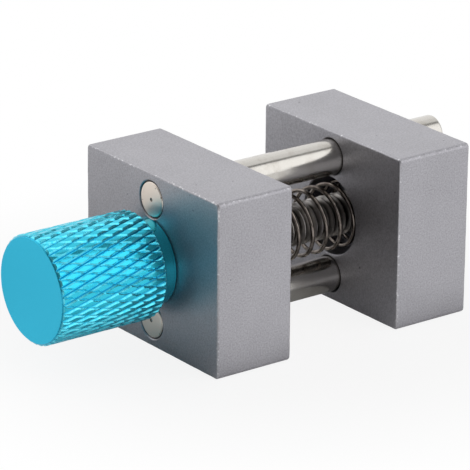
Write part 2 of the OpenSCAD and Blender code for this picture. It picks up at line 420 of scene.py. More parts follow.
@dataclass(frozen=True)
class BlueAnodised(Finish):
    """Turned and knurled blue anodised aluminium: painted shade in the grooves, pale wear and painted glints
    on their walls.

    Its skin, shade, wear and glints change at depths below the knurl's crests, in millimetres.
    """

    axis_z: float
    face_x: float
    crest_r: float
    # The first colour is painted shade: a darker blue for the knurl's groove bottoms.
    groove_shade: Colour = (0.014, 0.35, 0.57)
    bright: Colour = (0.034, 0.61, 0.81)
    # Pale cyan for worn groove walls, laid on partly as wear and partly as painted glints.
    pale: Colour = (0.20, 0.86, 1.00)
    face: Colour = (0.046, 0.612, 0.853)
    groove_shade_depth: Band = (0.30, 0.10)
    collar_depth: Band = (0.68, 1.08)
    glint_wear_foot: Band = (0.22, 0.12)
    glint_wear_top: Band = (0.0, 0.05)
    glint_wear_per_mm: float = 2.2
    glint_wear_patches: Band = (0.25, 0.60)
    glint_wear_share: float = 0.6
    face_reach: Band = (0.08, 0.02)
    rings_per_mm: float = 14.0
    ring_height: float = 0.002
    speckle_per_mm: float = 6.0
    speckle_height: float = 0.004
    speckle_roughness: float = 0.14
    metallic: float = 0.85
    roughness: float = 0.19
    face_roughness: float = 0.54
    coat: float = 0.12
    coat_roughness: float = 0.08

    def paint(self, graph: Graph) -> None:
        """Adds painted shade (a deeper blue) in the groove bottoms, pale wear with painted glints on their
        walls and a turned end face.

        Args:
            graph: The material's nodes.
        """
        place = graph.place_mm()
        radius = graph.axis_distance(place, self.axis_z)
        below = self.crest_r / MM - radius
        x, _, _ = graph.xyz(place)
        on_face = x.step(*(self.face_x / MM + reach for reach in self.face_reach))
        smooth = on_face.most(below.step(*self.collar_depth))
        # Painted shade: the colour darkens towards the groove bottoms, while the crests, collar and face keep
        # the bright blue.
        dyed_and_shaded = graph.mix(below.step(*self.groove_shade_depth).most(smooth), self.groove_shade, self.bright)
        # Pale patches on the groove walls: partly wear, partly painted glints that stand in for highlights.
        walls = below.step(*self.glint_wear_foot) * below.step(*self.glint_wear_top)
        worn = walls * graph.noise(place, self.glint_wear_per_mm, detail=2.0).step(*self.glint_wear_patches)
        skin = graph.mix(worn * self.glint_wear_share, dyed_and_shaded, self.pale)
        speckle = graph.noise(place, self.speckle_per_mm)
        outwards = graph.node("ShaderNodeCombineXYZ", None, {"X": radius})
        rings = graph.noise(outwards, self.rings_per_mm, detail=2.0) * on_face
        roughness = self.roughness + (self.face_roughness - self.roughness) * on_face
        graph.principled({
            "Base Color": graph.mix(on_face, skin, self.face),
            "Metallic": self.metallic + (1 - self.metallic) * on_face,
            "Roughness": roughness + self.speckle_roughness * (speckle - NOISE_MIDDLE),
            "Coat Weight": self.coat * (1 - on_face),
            "Coat Roughness": self.coat_roughness,
            "Normal": graph.bump(self.speckle_height * speckle + self.ring_height * rings),
        })


@dataclass(frozen=True)
class PolishedRod(Finish):
    """Ground and polished steel rod with faint grinding lines and a dark mark in each end."""

    low_x: float
    high_x: float
    axis_z: float
    colour: Colour = (0.57, 0.55, 0.515)
    stain: Colour = (0.47, 0.44, 0.40)
    end: Colour = (0.84, 0.745, 0.66)
    speck: Colour = (0.12, 0.105, 0.09)
    end_reach: Band = (0.16, 0.1)
    mark_r: Band = (0.34, 0.2)
    rim_r: Band = (1.85, 2.1)
    rim_specks: Spots = (0.5, 0.13, 0.5)
    lines_per_mm: Place = (18.0, 0.4, 0.4)
    line_height: float = 0.0012
    scratches_per_mm: Place = (0.25, 9.0, 9.0)
    scratch_height: float = 0.0022
    stains_per_mm: float = 0.5
    stains: Band = (0.45, 0.75)
    stain_share: float = 0.6
    roughness: float = 0.19
    line_roughness: float = 0.08
    stain_roughness: float = 0.04
    end_roughness: float = 0.18

    def paint(self, graph: Graph) -> None:
        """Adds grinding lines, long scratches, faint stains, and a mark and rim specks in the ends.

        Args:
            graph: The material's nodes.
        """
        place = graph.place_mm()
        x, _, _ = graph.xyz(place)
        radius = graph.axis_distance(place, self.axis_z)
        ends = (x - self.low_x / MM).least(self.high_x / MM - x).step(*self.end_reach)
        rim = graph.spots(place, *self.rim_specks) * radius.step(*self.rim_r)
        specks = rim.most(radius.step(*self.mark_r)) * ends
        lines = graph.noise(place, self.lines_per_mm)
        scratches = graph.noise(place, self.scratches_per_mm, detail=2.0)
        stains = graph.noise(place, self.stains_per_mm).step(*self.stains)
        side = graph.mix(stains * self.stain_share, self.colour, self.stain)
        roughness = self.roughness + self.line_roughness * (lines - NOISE_MIDDLE)
        graph.principled({
            "Base Color": graph.mix(specks, graph.mix(ends, side, self.end), self.speck),
            "Metallic": 1.0,
            "Roughness": roughness + self.stain_roughness * stains + self.end_roughness * ends,
            "Normal": graph.bump(self.line_height * lines + self.scratch_height * scratches),
        })


@dataclass(frozen=True)
class ThreadSteel(Finish):
    """Rolled and oiled thread: painted highlights on the crests and painted shade in the roots."""

    axis_z: float
    root_r: float
    crest_r: float
    tip_x: float
    # Near-black painted shade for the roots, and a lighter grey for painted highlights on the crests.
    root: Colour = (0.085, 0.078, 0.071)
    crest: Colour = (0.52, 0.495, 0.475)
    tip: Colour = (0.55, 0.53, 0.50)
    root_reach: float = 0.05
    crest_reach: float = 0.02
    tip_reach: Band = (0.06, 0.01)
    root_shade_tone: float = 0.02
    crest_highlight_tone: float = 0.8
    smear_per_mm: float = 1.6
    smear_tone: float = 0.4
    marks_per_mm: Place = (6.4, 0.2, 0.2)
    mark_tone: float = 0.9
    mark_height: float = 0.004
    roughness: float = 0.28
    mark_roughness: float = 0.1
    smear_roughness: float = 0.06
    tip_roughness: float = 0.25

    def paint(self, graph: Graph) -> None:
        """Adds painted shade in the roots, painted highlights on the crests, oily smears and rolling marks on
        the flanks.

        Args:
            graph: The material's nodes.
        """
        place = graph.place_mm()
        x, _, _ = graph.xyz(place)
        radius = graph.axis_distance(place, self.axis_z)
        smear = graph.noise(place, self.smear_per_mm)
        marks = graph.noise(place, self.marks_per_mm, detail=0.0)
        # Painted shade and highlight by radius: dark at the roots, light at the crests, with oily smears and
        # rolling marks on top.
        height = radius.step(self.root_r / MM - self.root_reach, self.crest_r / MM - self.crest_reach)
        on_tip = x.step(*(self.tip_x / MM - reach for reach in self.tip_reach))
        swing = marks - NOISE_MIDDLE
        oil = self.smear_tone * (smear - NOISE_MIDDLE)
        tone = self.root_shade_tone + self.crest_highlight_tone * height + oil + self.mark_tone * swing
        roughness = self.roughness + self.mark_roughness * swing + self.smear_roughness * smear
        graph.principled({
            "Base Color": graph.mix(on_tip, graph.mix(tone, self.root, self.crest), self.tip),
            "Metallic": 1.0,
            "Roughness": roughness + self.tip_roughness * on_tip,
            "Normal": graph.bump(self.mark_height * marks),
        })


@dataclass(frozen=True)
class SpringWire(Finish):
    """Bright drawn stainless wire with faint drawing lines."""

    colour: Colour = (0.25, 0.218, 0.193)
    dull: Colour = (0.07, 0.058, 0.05)
    lines_per_mm: Place = (16.0, 1.0, 1.0)
    line_height: float = 0.002
    patches_per_mm: float = 0.9
    patches: Band = (0.38, 0.66)
    dull_share: float = 0.7
    roughness: float = 0.06
    line_roughness: float = 0.04
    dull_roughness: float = 0.05

    def paint(self, graph: Graph) -> None:
        """Adds drawing lines and dull patches.

        Args:
            graph: The material's nodes.
        """
        place = graph.place_mm()
        lines = graph.noise(place, self.lines_per_mm, detail=2.0)
        patches = graph.noise(place, self.patches_per_mm).step(*self.patches)
        graph.principled({
            "Base Color": graph.mix(patches * self.dull_share, self.colour, self.dull),
            "Metallic": 1.0,
            "Roughness": self.roughness + self.line_roughness * lines + self.dull_roughness * patches,
            "Normal": graph.bump(self.line_height * lines),
        })


@dataclass(frozen=True)
class PaleFloor(Finish):
    """A pale studio floor that fades into the white background away from the object."""

    colour: Colour = (0.94, 0.94, 0.94)
    lift: float = 0.87
    fade: Band = (42 * MM, 112 * MM)
    closer: float = 1.7
    front: Band = (-11 * MM, -26 * MM)
    right: Band = (-42 * MM, -12 * MM)
    patch: Place = (-52 * MM, 10 * MM, 0.0)
    patch_r: Band = (24 * MM, 10 * MM)
    patch_share: float = 0.7

    def paint(self, graph: Graph) -> None:
        """Adds a diffuse floor that keeps the object's shadow and turns white far out.

        For the camera it fades closer to the object and is lifted all over. For reflections only it also
        glows white, as painted light, in front on the right and on a patch beside the knob.

        Args:
            graph: The material's nodes.
        """
        place = graph.node("ShaderNodeTexCoord", output="Object")
        along, across, _ = graph.xyz(place)
        camera = graph.node("ShaderNodeLightPath", output="Is Camera Ray")
        shown = (camera + camera.output("Is Glossy Ray") + camera.output("Is Transmission Ray")).least(1.0)
        off = graph.vector_math("LENGTH", place, output="Value") * (1 + (self.closer - 1) * camera)
        front = across.step(*self.front) * along.step(*self.right)
        from_patch = graph.vector_math("DISTANCE", place, self.patch, output="Value")
        # Painted light: patches of floor that glow white only in reflections.
        lit = front.most(from_patch.step(*self.patch_r) * self.patch_share)
        far = off.step(*self.fade).most(lit * (1 - camera))
        pale = graph.node("ShaderNodeBsdfDiffuse", None, {"Color": (*self.colour, 1.0)})
        white = graph.node("ShaderNodeEmission", None, {"Strength": 1.0})
        lifted = self.lift * camera
        graph.surface(graph.mix_shader((lifted + (1 - lifted) * far) * shown, pale, white))


def polar(x: float, axis_z: float, r: float, angle: float) -> Vector:
    """A point round a line along X, at an angle from straight below on towards +Y."""
    return Vector((x, r * math.sin(angle), axis_z - r * math.cos(angle)))


def circle(x: float, axis_z: float, radius: Radius, count: int) -> Points:
    """Points of a ring round a line along X.

    Args:
        x: The ring's place along X.
        axis_z: The line's height.
        radius: The ring's radius, or its radius at each angle.
        count: How many points it has.

    Returns:
        The points, from straight below the line and on towards +Y.
    """
    angles = [TURN * k / count for k in range(count)]
    return [polar(x, axis_z, radius(a) if callable(radius) else radius, a) for a in angles]


def add_object(name: str, data: bpy.types.ID) -> bpy.types.Object:
    """Adds an object to the scene.

    Args:
        name: The object's name.
        data: Its mesh, lamp or lens.

    Returns:
        The object.
    """
    made = bpy.data.objects.new(name, data)
    bpy.context.scene.collection.objects.link(made)
    return made


class Shape:
    """A mesh in the making: loops of points that strips of faces join."""

    def __init__(self) -> None:
        """Starts an empty mesh."""
        self.bm = bmesh.new()

    def loop(self, points: Iterable[Vector]) -> Loop:
        """Adds points and returns their vertices."""
        return [self.bm.verts.new(p) for p in points]

    def face(self, *corners: bmesh.types.BMVert) -> None:
        """Adds one face."""
        self.bm.faces.new(corners)

    def strip(self, first: Loop, second: Loop) -> None:
        """Joins two closed loops by a strip of faces.

        Args:
            first: One loop.
            second: The other, of the same length.
        """
        for k in range(len(first)):
            after = (k + 1) % len(first)
            self.face(first[k], first[after], second[after], second[k])

    def loft(self, rings: Sequence[Points]) -> tuple[Loop, Loop]:
        """Joins rings one after the other.

        Args:
            rings: The rings' points, all of one length.

        Returns:
            The first and the last ring's vertices.
        """
        loops = [self.loop(ring) for ring in rings]
        for first, second in zip(loops, loops[1:]):
            self.strip(first, second)
        return loops[0], loops[-1]

    def lathe(self, stations: Sequence[Station], axis_z: float, count: int) -> tuple[Loop, Loop]:
        """Turns stations of place and radius round a line along X.

        Args:
            stations: The places along X and the radii.
            axis_z: The line's height.
            count: How many points each ring has.

        Returns:
            The first and the last ring's vertices.
        """
        return self.loft([circle(x, axis_z, r, count) for x, r in stations])

    def cap(self, loop: Loop, point: Vector) -> None:
        """Closes a loop by a fan of faces.

        Args:
            loop: The loop.
            point: Where the faces meet.
        """
        middle = self.bm.verts.new(point)
        for k in range(len(loop)):
            self.face(loop[k], loop[(k + 1) % len(loop)], middle)

    def fill(self, *loops: Loop) -> None:
        """Fills a flat face.

        Args:
            loops: Its outline and its holes.
        """
        pairs = [(loop[k - 1], loop[k]) for loop in loops for k in range(len(loop))]
        edges = [self.bm.edges.get(pair) for pair in pairs]
        bmesh.ops.triangle_fill(self.bm, use_beauty=True, use_dissolve=False, edges=edges)

    def piece(self, name: str, finish: Finish, sharp_deg: float = 35.0) -> bpy.types.Object:
        """Ends the mesh and dresses it.

        Args:
            name: The piece's name.
            finish: Its finish.
            sharp_deg: Faces that meet at more than this angle keep a sharp edge.

        Returns:
            The piece, smooth elsewhere, with the normals of its larger faces kept flat.
        """
        bmesh.ops.recalc_face_normals(self.bm, faces=self.bm.faces)
        mesh = bpy.data.meshes.new(name)
        self.bm.to_mesh(mesh)
        self.bm.free()
        mesh.shade_smooth()
        mesh.set_sharp_from_angle(angle=math.radians(sharp_deg))
        mesh.materials.append(finish.material())
        made = add_object(name, mesh)
        normals = made.modifiers.new("Flat faces", "WEIGHTED_NORMAL")
        normals.keep_sharp = True
        return made


def place_piece(made: bpy.types.Object, node: str, body: Body) -> None:
    """Puts a piece on its body in place of a node.

    Args:
        made: The piece.
        node: The node that it stands for.
        body: The body that it rides on.
    """
    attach(made, body.value)
    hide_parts(node)
    LOG.info("%s stands for %s: %d faces", made.name, node, len(made.data.polygons))


@dataclass(frozen=True)
class Thread:
    """A right-hand metric thread on the screw's axis."""

    outer_r: float = 2.95 * MM
    pitch: float = 1.0 * MM
    depth_share: float = 0.6134
    crest_share: float = 0.125
    flank_deg: float = 30.0

    @property
    def root_r(self) -> float:
        """Radius at the bottom of the thread."""
        return self.outer_r - self.depth_share * self.pitch

    @property
    def crest_half(self) -> float:
        """Half the width of a crest."""
        return self.crest_share * self.pitch / 2

    @property
    def root_half(self) -> float:
        """Half the width of the thread at its root."""
        return self.crest_half + (self.outer_r - self.root_r) * math.tan(math.radians(self.flank_deg))

    def tapped_radius(self, x: float, angle: float, clearance: float) -> float:
        """The radius of a tapped hole that clears this thread.

        Args:
            x: The place along the screw.
            angle: The angle round it, from straight below on towards +Y.
            clearance: The gap to the thread, square to its faces.

        Returns:
            The radius.
        """
        flank = math.radians(self.flank_deg)
        along = x - self.pitch * angle / TURN
        off = abs(along - self.pitch * round(along / self.pitch))
        spread = clearance * (1 / math.cos(flank) - math.tan(flank))
        slope = self.outer_r - (off - self.crest_half - spread) / math.tan(flank)
        return clearance + min(self.outer_r, max(self.root_r, slope))


@dataclass
class Jaw:
    """A jaw: a block with hand-broken edges, two rod holes and a stepped hole for screw and spring."""

    node: str
    name: str
    body: Body
    seat_side: SeatSide
    thread: Thread
    rod_places: Sequence[float]
    rod_r: float
    axis_z: float
    corner_r: float = 0.6 * MM
    edge_r: float = 0.3 * MM
    edge_wander: float = 0.25
    wander_length: float = 1.6 * MM
    rod_room: float = 0.03 * MM
    rod_bevel: float = 0.23 * MM
    seat_r: float = 5.6 * MM
    seat_depth: float = 4.5 * MM
    seat_lip: float = 0.15 * MM
    bore_r: float = 3.05 * MM
    bore_bevel: float = 0.4 * MM
    tap_clearance: float = 0.1 * MM
    corner_steps: int = 8
    side_steps: int = 36
    edge_steps: int = 5
    rod_sides: int = 64
    bore_sides: int = 96
    tap_rows: int = 12

    def __post_init__(self) -> None:
        """Takes the block's corners from the frame."""
        self.low, self.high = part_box(self.node)

    def outline(self) -> list[tuple[Vector, Vector]]:
        """The block's outline across the screw.

        Returns:
            Points of a rectangle with round corners, with their outward directions, at X 0.
        """
        r = self.corner_r
        ys = (self.high.y - r, self.low.y + r, self.low.y + r, self.high.y - r)
        zs = (self.high.z - r, self.high.z - r, self.low.z + r, self.low.z + r)
        corners = [Vector((0.0, y, z)) for y, z in zip(ys, zs)]
        points = []
        for quarter, corner in enumerate(corners):
            for i in range(self.corner_steps + 1):
                angle = QUARTER_TURN * (quarter + i / self.corner_steps)
                out = Vector((0.0, math.cos(angle), math.sin(angle)))
                points.append((corner + r * out, out))
            start, out = points[-1]
            end = corners[(quarter + 1) % len(corners)] + r * out
            points += [(start.lerp(end, i / self.side_steps), out) for i in range(1, self.side_steps)]
        return points

    def edge_ring(self, face_x: float, inward: int, turn: float) -> Points:
        """One ring of the broken edge round an end face.

        Args:
            face_x: Where the end face is.
            inward: 1 where the block lies at greater X, and -1 at less.
            turn: 0 at the block's side and a quarter turn at the end face.

        Returns:
            The ring's points, on an edge radius that wanders a little, as one broken by hand does.
        """
        ring = []
        for point, out in self.outline():
            wander = noise.noise(Vector((face_x, point.y, point.z)) / self.wander_length)
            r = self.edge_r * (1 + self.edge_wander * wander)
            along = face_x + inward * r * (1 - math.sin(turn))
            ring.append(point - out * (r * (1 - math.cos(turn))) + Vector((along, 0.0, 0.0)))
        return ring

    def block(self, shape: Shape) -> tuple[Loop, Loop]:
        """Adds the block's sides and broken edges.

        Args:
            shape: The mesh.

        Returns:
            The outlines of its front and rear faces.
        """
        turns = [QUARTER_TURN * i / self.edge_steps for i in range(self.edge_steps + 1)]
        front = [self.edge_ring(self.low.x, 1, turn) for turn in reversed(turns)]
        rear = [self.edge_ring(self.high.x, -1, turn) for turn in turns]
        return shape.loft(front + rear)

    def rod_hole(self, shape: Shape, z: float) -> tuple[Loop, Loop]:
        """Adds a rod's hole, bevelled at both mouths.

        Args:
            shape: The mesh.
            z: The hole's height.

        Returns:
            Its front and rear rims.
        """
        r, b = self.rod_r + self.rod_room, self.rod_bevel
        a, e = self.low.x, self.high.x
        return shape.lathe([(a, r + b), (a + b, r), (e - b, r), (e, r + b)], z, self.rod_sides)

    def plain_hole(self) -> list[Station]:
        """The hole for a plain shank.

        Returns:
            Its stations, with the seat at its rear.
        """
        r, b, lip = self.bore_r, self.bore_bevel, self.seat_lip
        seat_x = self.high.x - self.seat_depth
        bore = [(self.low.x, r + b), (self.low.x + b, r), (seat_x - b, r), (seat_x, r + b)]
        seat = [(seat_x, self.seat_r), (self.high.x - lip, self.seat_r), (self.high.x, self.seat_r + lip)]
        return bore + seat

    def tapped_hole(self) -> list[Station]:
        """The tapped hole.

        Returns:
            Its stations, with the seat at its front and a bevelled mouth at its rear.
        """
        lip = self.seat_lip
        seat_x = self.low.x + self.seat_depth
        mouth_r = self.thread.outer_r + self.tap_clearance + self.bore_bevel
        seat = [(self.low.x, self.seat_r + lip), (self.low.x + lip, self.seat_r), (seat_x, self.seat_r)]
        rows = math.ceil((self.high.x - seat_x) / self.thread.pitch * self.tap_rows)

        def radius_at(x: float) -> Callable[[float], float]:
            """The hole's radius at each angle, at one place."""
            cone = mouth_r - (self.high.x - x)
            return lambda angle: max(cone, self.thread.tapped_radius(x, angle, self.tap_clearance))

        places = [seat_x + (self.high.x - seat_x) * i / rows for i in range(rows + 1)]
        return seat + [(x, radius_at(x)) for x in places]

    def build(self) -> None:
        """Models, dresses and places the jaw."""
        shape = Shape()
        stations = self.plain_hole() if self.seat_side is SeatSide.REAR else self.tapped_hole()
        ends = [self.block(shape), shape.lathe(stations, self.axis_z, self.bore_sides)]
        ends += [self.rod_hole(shape, z) for z in self.rod_places]
        shape.fill(*(front for front, _ in ends))
        shape.fill(*(rear for _, rear in ends))
        block = (tuple(self.low), tuple(self.high))
        finish = GreyAnodised("grey anodised " + self.node, *block, self.rod_places, self.rod_r)
        place_piece(shape.piece(self.name, finish), self.node, self.body)


@dataclass
class GuideRod:
    """A polished rod with round ends and a turning mark in each."""

    node: str
    name: str
    edge_r: float = 0.3 * MM
    mark_r: float = 0.25 * MM
    edge_steps: int = 6
    sides: int = 96

    def __post_init__(self) -> None:
        """Takes the rod's size and place from the frame."""
        self.low, self.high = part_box(self.node)
        self.r = (self.high.z - self.low.z) / 2
        self.axis_z = (self.high.z + self.low.z) / 2

    def end(self, x: float, towards: int) -> list[Station]:
        """Stations of one end, from its mark to its side.

        Args:
            x: Where the end face is.
            towards: 1 where the rod lies at greater X, and -1 at less.

        Returns:
            The stations, from the middle outwards.
        """
        stations = [(x + towards * self.mark_r / 2, self.mark_r / 2), (x, self.mark_r)]
        for i in range(self.edge_steps, -1, -1):
            turn = QUARTER_TURN * i / self.edge_steps
            along = towards * self.edge_r * (1 - math.sin(turn))
            stations.append((x + along, self.r - self.edge_r * (1 - math.cos(turn))))
        return stations

    def build(self) -> None:
        """Models, dresses and places the rod."""
        shape = Shape()
        stations = self.end(self.low.x, 1) + self.end(self.high.x, -1)[::-1]
        first, last = shape.lathe(stations, self.axis_z, self.sides)
        shape.cap(first, Vector((self.low.x + self.mark_r, 0.0, self.axis_z)))
        shape.cap(last, Vector((self.high.x - self.mark_r, 0.0, self.axis_z)))
        finish = PolishedRod("polished " + self.node, self.low.x, self.high.x, self.axis_z)
        place_piece(shape.piece(self.name, finish), self.node, Body.FIXED_JAW)


@dataclass
class LeadScrew:
    """The lead screw: a plain shank and one unbroken helical thread with a tapered tip."""

    thread: Thread
    axis_z: float
    thread_start: float
    node: str = "lead_screw"
    name: str = "threaded_screw"
    shank_r: float = 3.0 * MM
    shank_bevel: float = 0.3 * MM
    tip_inset: float = 0.3 * MM
    end_turns: float = 3.0
    past_tip_turns: float = 1.5
    sides: int = 40

    def __post_init__(self) -> None:
        """Takes the screw's ends from the frame."""
        low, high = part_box(self.node)
        self.front_x, self.tip_x = low.x, high.x
        self.tip_r = self.thread.root_r - self.tip_inset

    def spiral_point(self, step: int, along: float, r: float) -> Vector:
        """A point of the thread's profile, limited by the shank and by the tip.

        Args:
            step: Steps round the screw from X 0.
            along: The point's place in the profile.
            r: Its radius in the profile.

        Returns:
            The point: past the tip's end it lies on the flat end face, nearer the axis the further it goes.
        """
        x = self.thread.pitch * step / self.sides + along
        r = max(r, self.shank_r - max(0.0, x - self.thread_start))
        if x < self.tip_x:
            r = min(r, self.tip_r + self.tip_x - x)
        else:
            r = self.tip_r * (1 - (x - self.tip_x) / (self.end_turns * self.thread.pitch))
        angle = TURN * step / self.sides
        return polar(min(x, self.tip_x), self.axis_z, r, angle)

    def spiral(self, shape: Shape) -> list[Loop]:
        """Adds the thread's crests, flanks and roots.

        Args:
            shape: The mesh.

        Returns:
            The profile's four vertices at each step.
        """
        t, n = self.thread, self.sides
        profile = [(-t.root_half, t.root_r), (-t.crest_half, t.outer_r), (t.crest_half, t.outer_r)]
        profile.append((t.root_half, t.root_r))
        last = math.ceil(n * (self.tip_x / t.pitch + self.past_tip_turns))
        rows = [shape.loop(self.spiral_point(k, a, r) for a, r in profile) for k in range(last + 1)]
        for k in range(last):
            for j in range(len(profile) - 1):
                shape.face(rows[k][j], rows[k + 1][j], rows[k + 1][j + 1], rows[k][j + 1])
        for k in range(last - n):
            shape.face(rows[k][-1], rows[k + 1][-1], rows[k + n + 1][0], rows[k + n][0])
        return rows

    def shank(self, shape: Shape, rows: list[Loop]) -> None:
        """Adds the shank and joins it to the thread's first turn.

        Args:
            shape: The mesh.
            rows: The thread's vertices at each step.
        """
        n, b = self.sides, self.shank_bevel
        stations = [(self.front_x, self.shank_r - b), (self.front_x + b, self.shank_r)]
        stations.append((-self.thread.pitch, self.shank_r))
        first, ring = shape.lathe(stations, self.axis_z, n)
        shape.cap(first, Vector((self.front_x, 0.0, self.axis_z)))
        for k in range(n - 1):
            shape.face(ring[k], ring[k + 1], rows[k + 1][0], rows[k][0])
        shape.face(ring[n - 1], ring[0], *rows[0], rows[n][0], rows[n - 1][0])

    def end_face(self, shape: Shape, rows: list[Loop]) -> None:
        """Closes the flat end inside the thread's last turn.

        Args:
            shape: The mesh.
            rows: The thread's vertices at each step.
        """
        middle = shape.bm.verts.new((self.tip_x, 0.0, self.axis_z))
        last, first = len(rows) - 1, len(rows) - 1 - self.sides
        for k in range(first + 1, last):
            shape.face(middle, rows[k][-1], rows[k + 1][-1])
        shape.face(middle, *reversed(rows[last]), rows[first][-1], rows[first + 1][-1])

    def build(self) -> None:
        """Models, dresses and places the screw."""
        shape = Shape()
        rows = self.spiral(shape)
        self.shank(shape, rows)
        self.end_face(shape, rows)
        radii = (self.thread.root_r, self.thread.outer_r)
        finish = ThreadSteel("rolled thread steel", self.axis_z, *radii, self.tip_x)
        place_piece(shape.piece(self.name, finish), self.node, Body.KNOB_AND_SCREW)


@dataclass
class Knob:
    """The knob: a diamond-knurled grip with bevelled ends, a smooth collar and a blind bore.

    The knurl's grooves that climb with X are narrower than those that fall, and so shallower.
    """

    axis_z: float
    node: str = "knob"
    name: str = "knurled_knob"
    bevel: float = 0.35 * MM
    knurl_depth: float = 0.28 * MM
    knurl_count: int = 39
    knurl_pitch: float = 4.25 * MM
    wide_wall: float = 1 / 2
    narrow_wall: float = 1 / 3
    knurl_start: float = 0.04 * MM
    knurl_turn_deg: float = 1.6
    refine: int = 6
    bevel_steps: int = 3
    collar_r: float = 6.0 * MM
    collar_l: float = 2.5 * MM
    collar_bevel: float = 0.15 * MM
    bore_r: float = 3.02 * MM
    bore_l: float = 13.0 * MM
    collar_sides: int = 96
    sharp_deg: float = 18.0

    def __post_init__(self) -> None:
        """Takes the knob's size and ends from the frame."""
        low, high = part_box(self.node)
        self.face_x, self.collar_x = low.x, high.x
        self.grip_x = self.collar_x - self.collar_l
        self.crest_r = high.y
        self.columns = 2 * self.knurl_count * self.refine

    def grooves(self, x: float, column: float) -> tuple[float, float]:
        """The distances to the nearest groove of each hand.

        Args:
            x: The place along the knob.
            column: Half diamonds round the knob.

        Returns:
            The distance to a groove that climbs with X and to one that falls: 0 in it, 1 midway.
        """
        row = (x - self.face_x - self.knurl_start) / (self.knurl_pitch / 2)
        return tuple(2 * abs(g - round(g)) for g in ((column - row) / 2, (column + row) / 2))

    def walls(self, x: float, column: float) -> tuple[float, float]:
        """How far inside the edge of each hand's groove a point is, in half spacings."""
        climbing, falling = self.grooves(x, column)
        return self.narrow_wall - climbing, self.wide_wall - falling

    def knurl_radius(self, x: float, column: float) -> float:
        """The grip's radius: flat-topped diamonds, cut by the bevels at both ends.

        Args:
            x: The place along the knob.
            column: Half diamonds round the knob.

        Returns:
            The radius.
        """
        cut = self.knurl_depth / self.wide_wall * max(0.0, *self.walls(x, column))
        end = min(x - self.face_x, self.grip_x - x)
        return self.crest_r - max(cut, self.bevel - end)

    def knurl_places(self) -> list[float]:
        """The places of the grip's rings.

        Returns:
            Close places in the bevels, and between them even steps of the knurl's grid.
        """
        step = self.knurl_pitch / 2 / self.refine
        first, last = self.face_x + self.bevel, self.grip_x - self.bevel
        bevel = [self.bevel * i / self.bevel_steps for i in range(self.bevel_steps + 1)]
        count = math.ceil((self.grip_x - self.face_x) / step)
        inner = [self.face_x + self.knurl_start + step * i for i in range(count)]
        room = step / 4
        inner = [x for x in inner if first + room < x < last - room]
        return [self.face_x + b for b in bevel] + inner + [self.grip_x - b for b in reversed(bevel)]

    def knurl(self, shape: Shape) -> tuple[Loop, Loop]:
        """Adds the knurled side.

        Args:
            shape: The mesh.

        Returns:
            The rims of the front face and of the grip's back.
        """
        places = self.knurl_places()
        loops = []
        for x in places:
            points = []
            for k in range(self.columns):
                column = k / self.refine
                angle = math.radians(self.knurl_turn_deg) + TURN / 2 * column / self.knurl_count
                points.append(polar(x, self.axis_z, self.knurl_radius(x, column), angle))
            loops.append(shape.loop(points))
        for i in range(len(places) - 1):
            middle = (places[i] + places[i + 1]) / 2
            for k in range(self.columns):
                self.knurl_cell(shape, loops[i], loops[i + 1], k, middle)
        return loops[0], loops[-1]

    def knurl_cell(self, shape: Shape, first: Loop, second: Loop, k: int, x: float) -> None:
        """Adds one cell of the knurl as two triangles, split along the nearer groove.

        Args:
            shape: The mesh.
            first: The ring before the cell.
            second: The ring after it.
            k: The cell's column.
            x: The cell's middle along the knob.
        """
        after = (k + 1) % self.columns
        a, b, c, d = first[k], first[after], second[k], second[after]
        climbing, falling = self.walls(x, (k + 0.5) / self.refine)
        if climbing > falling:
            shape.face(a, b, d)
            shape.face(a, d, c)
        else:
            shape.face(a, b, c)
            shape.face(b, d, c)

    def collar(self, shape: Shape) -> Loop:
        """Adds the collar and the blind bore.

        Args:
            shape: The mesh.

        Returns:
            The loop where the collar meets the grip's back.
        """
        b = self.collar_bevel
        bore_x = self.collar_x - self.bore_l
        outside = [(self.grip_x, self.collar_r), (self.collar_x - b, self.collar_r)]
        outside += [(self.collar_x, self.collar_r - b), (self.collar_x, self.bore_r), (bore_x, self.bore_r)]
        root, bottom = shape.lathe(outside, self.axis_z, self.collar_sides)
        shape.cap(bottom, Vector((bore_x, 0.0, self.axis_z)))
        return root

    def build(self) -> None:
        """Models, dresses and places the knob."""
        shape = Shape()
        front, back = self.knurl(shape)
        shape.cap(front, Vector((self.face_x, 0.0, self.axis_z)))
        shape.fill(back, self.collar(shape))
        finish = BlueAnodised("blue anodised", self.axis_z, self.face_x, self.crest_r)
        made = shape.piece(self.name, finish, self.sharp_deg)
        place_piece(made, self.node, Body.KNOB_AND_SCREW)


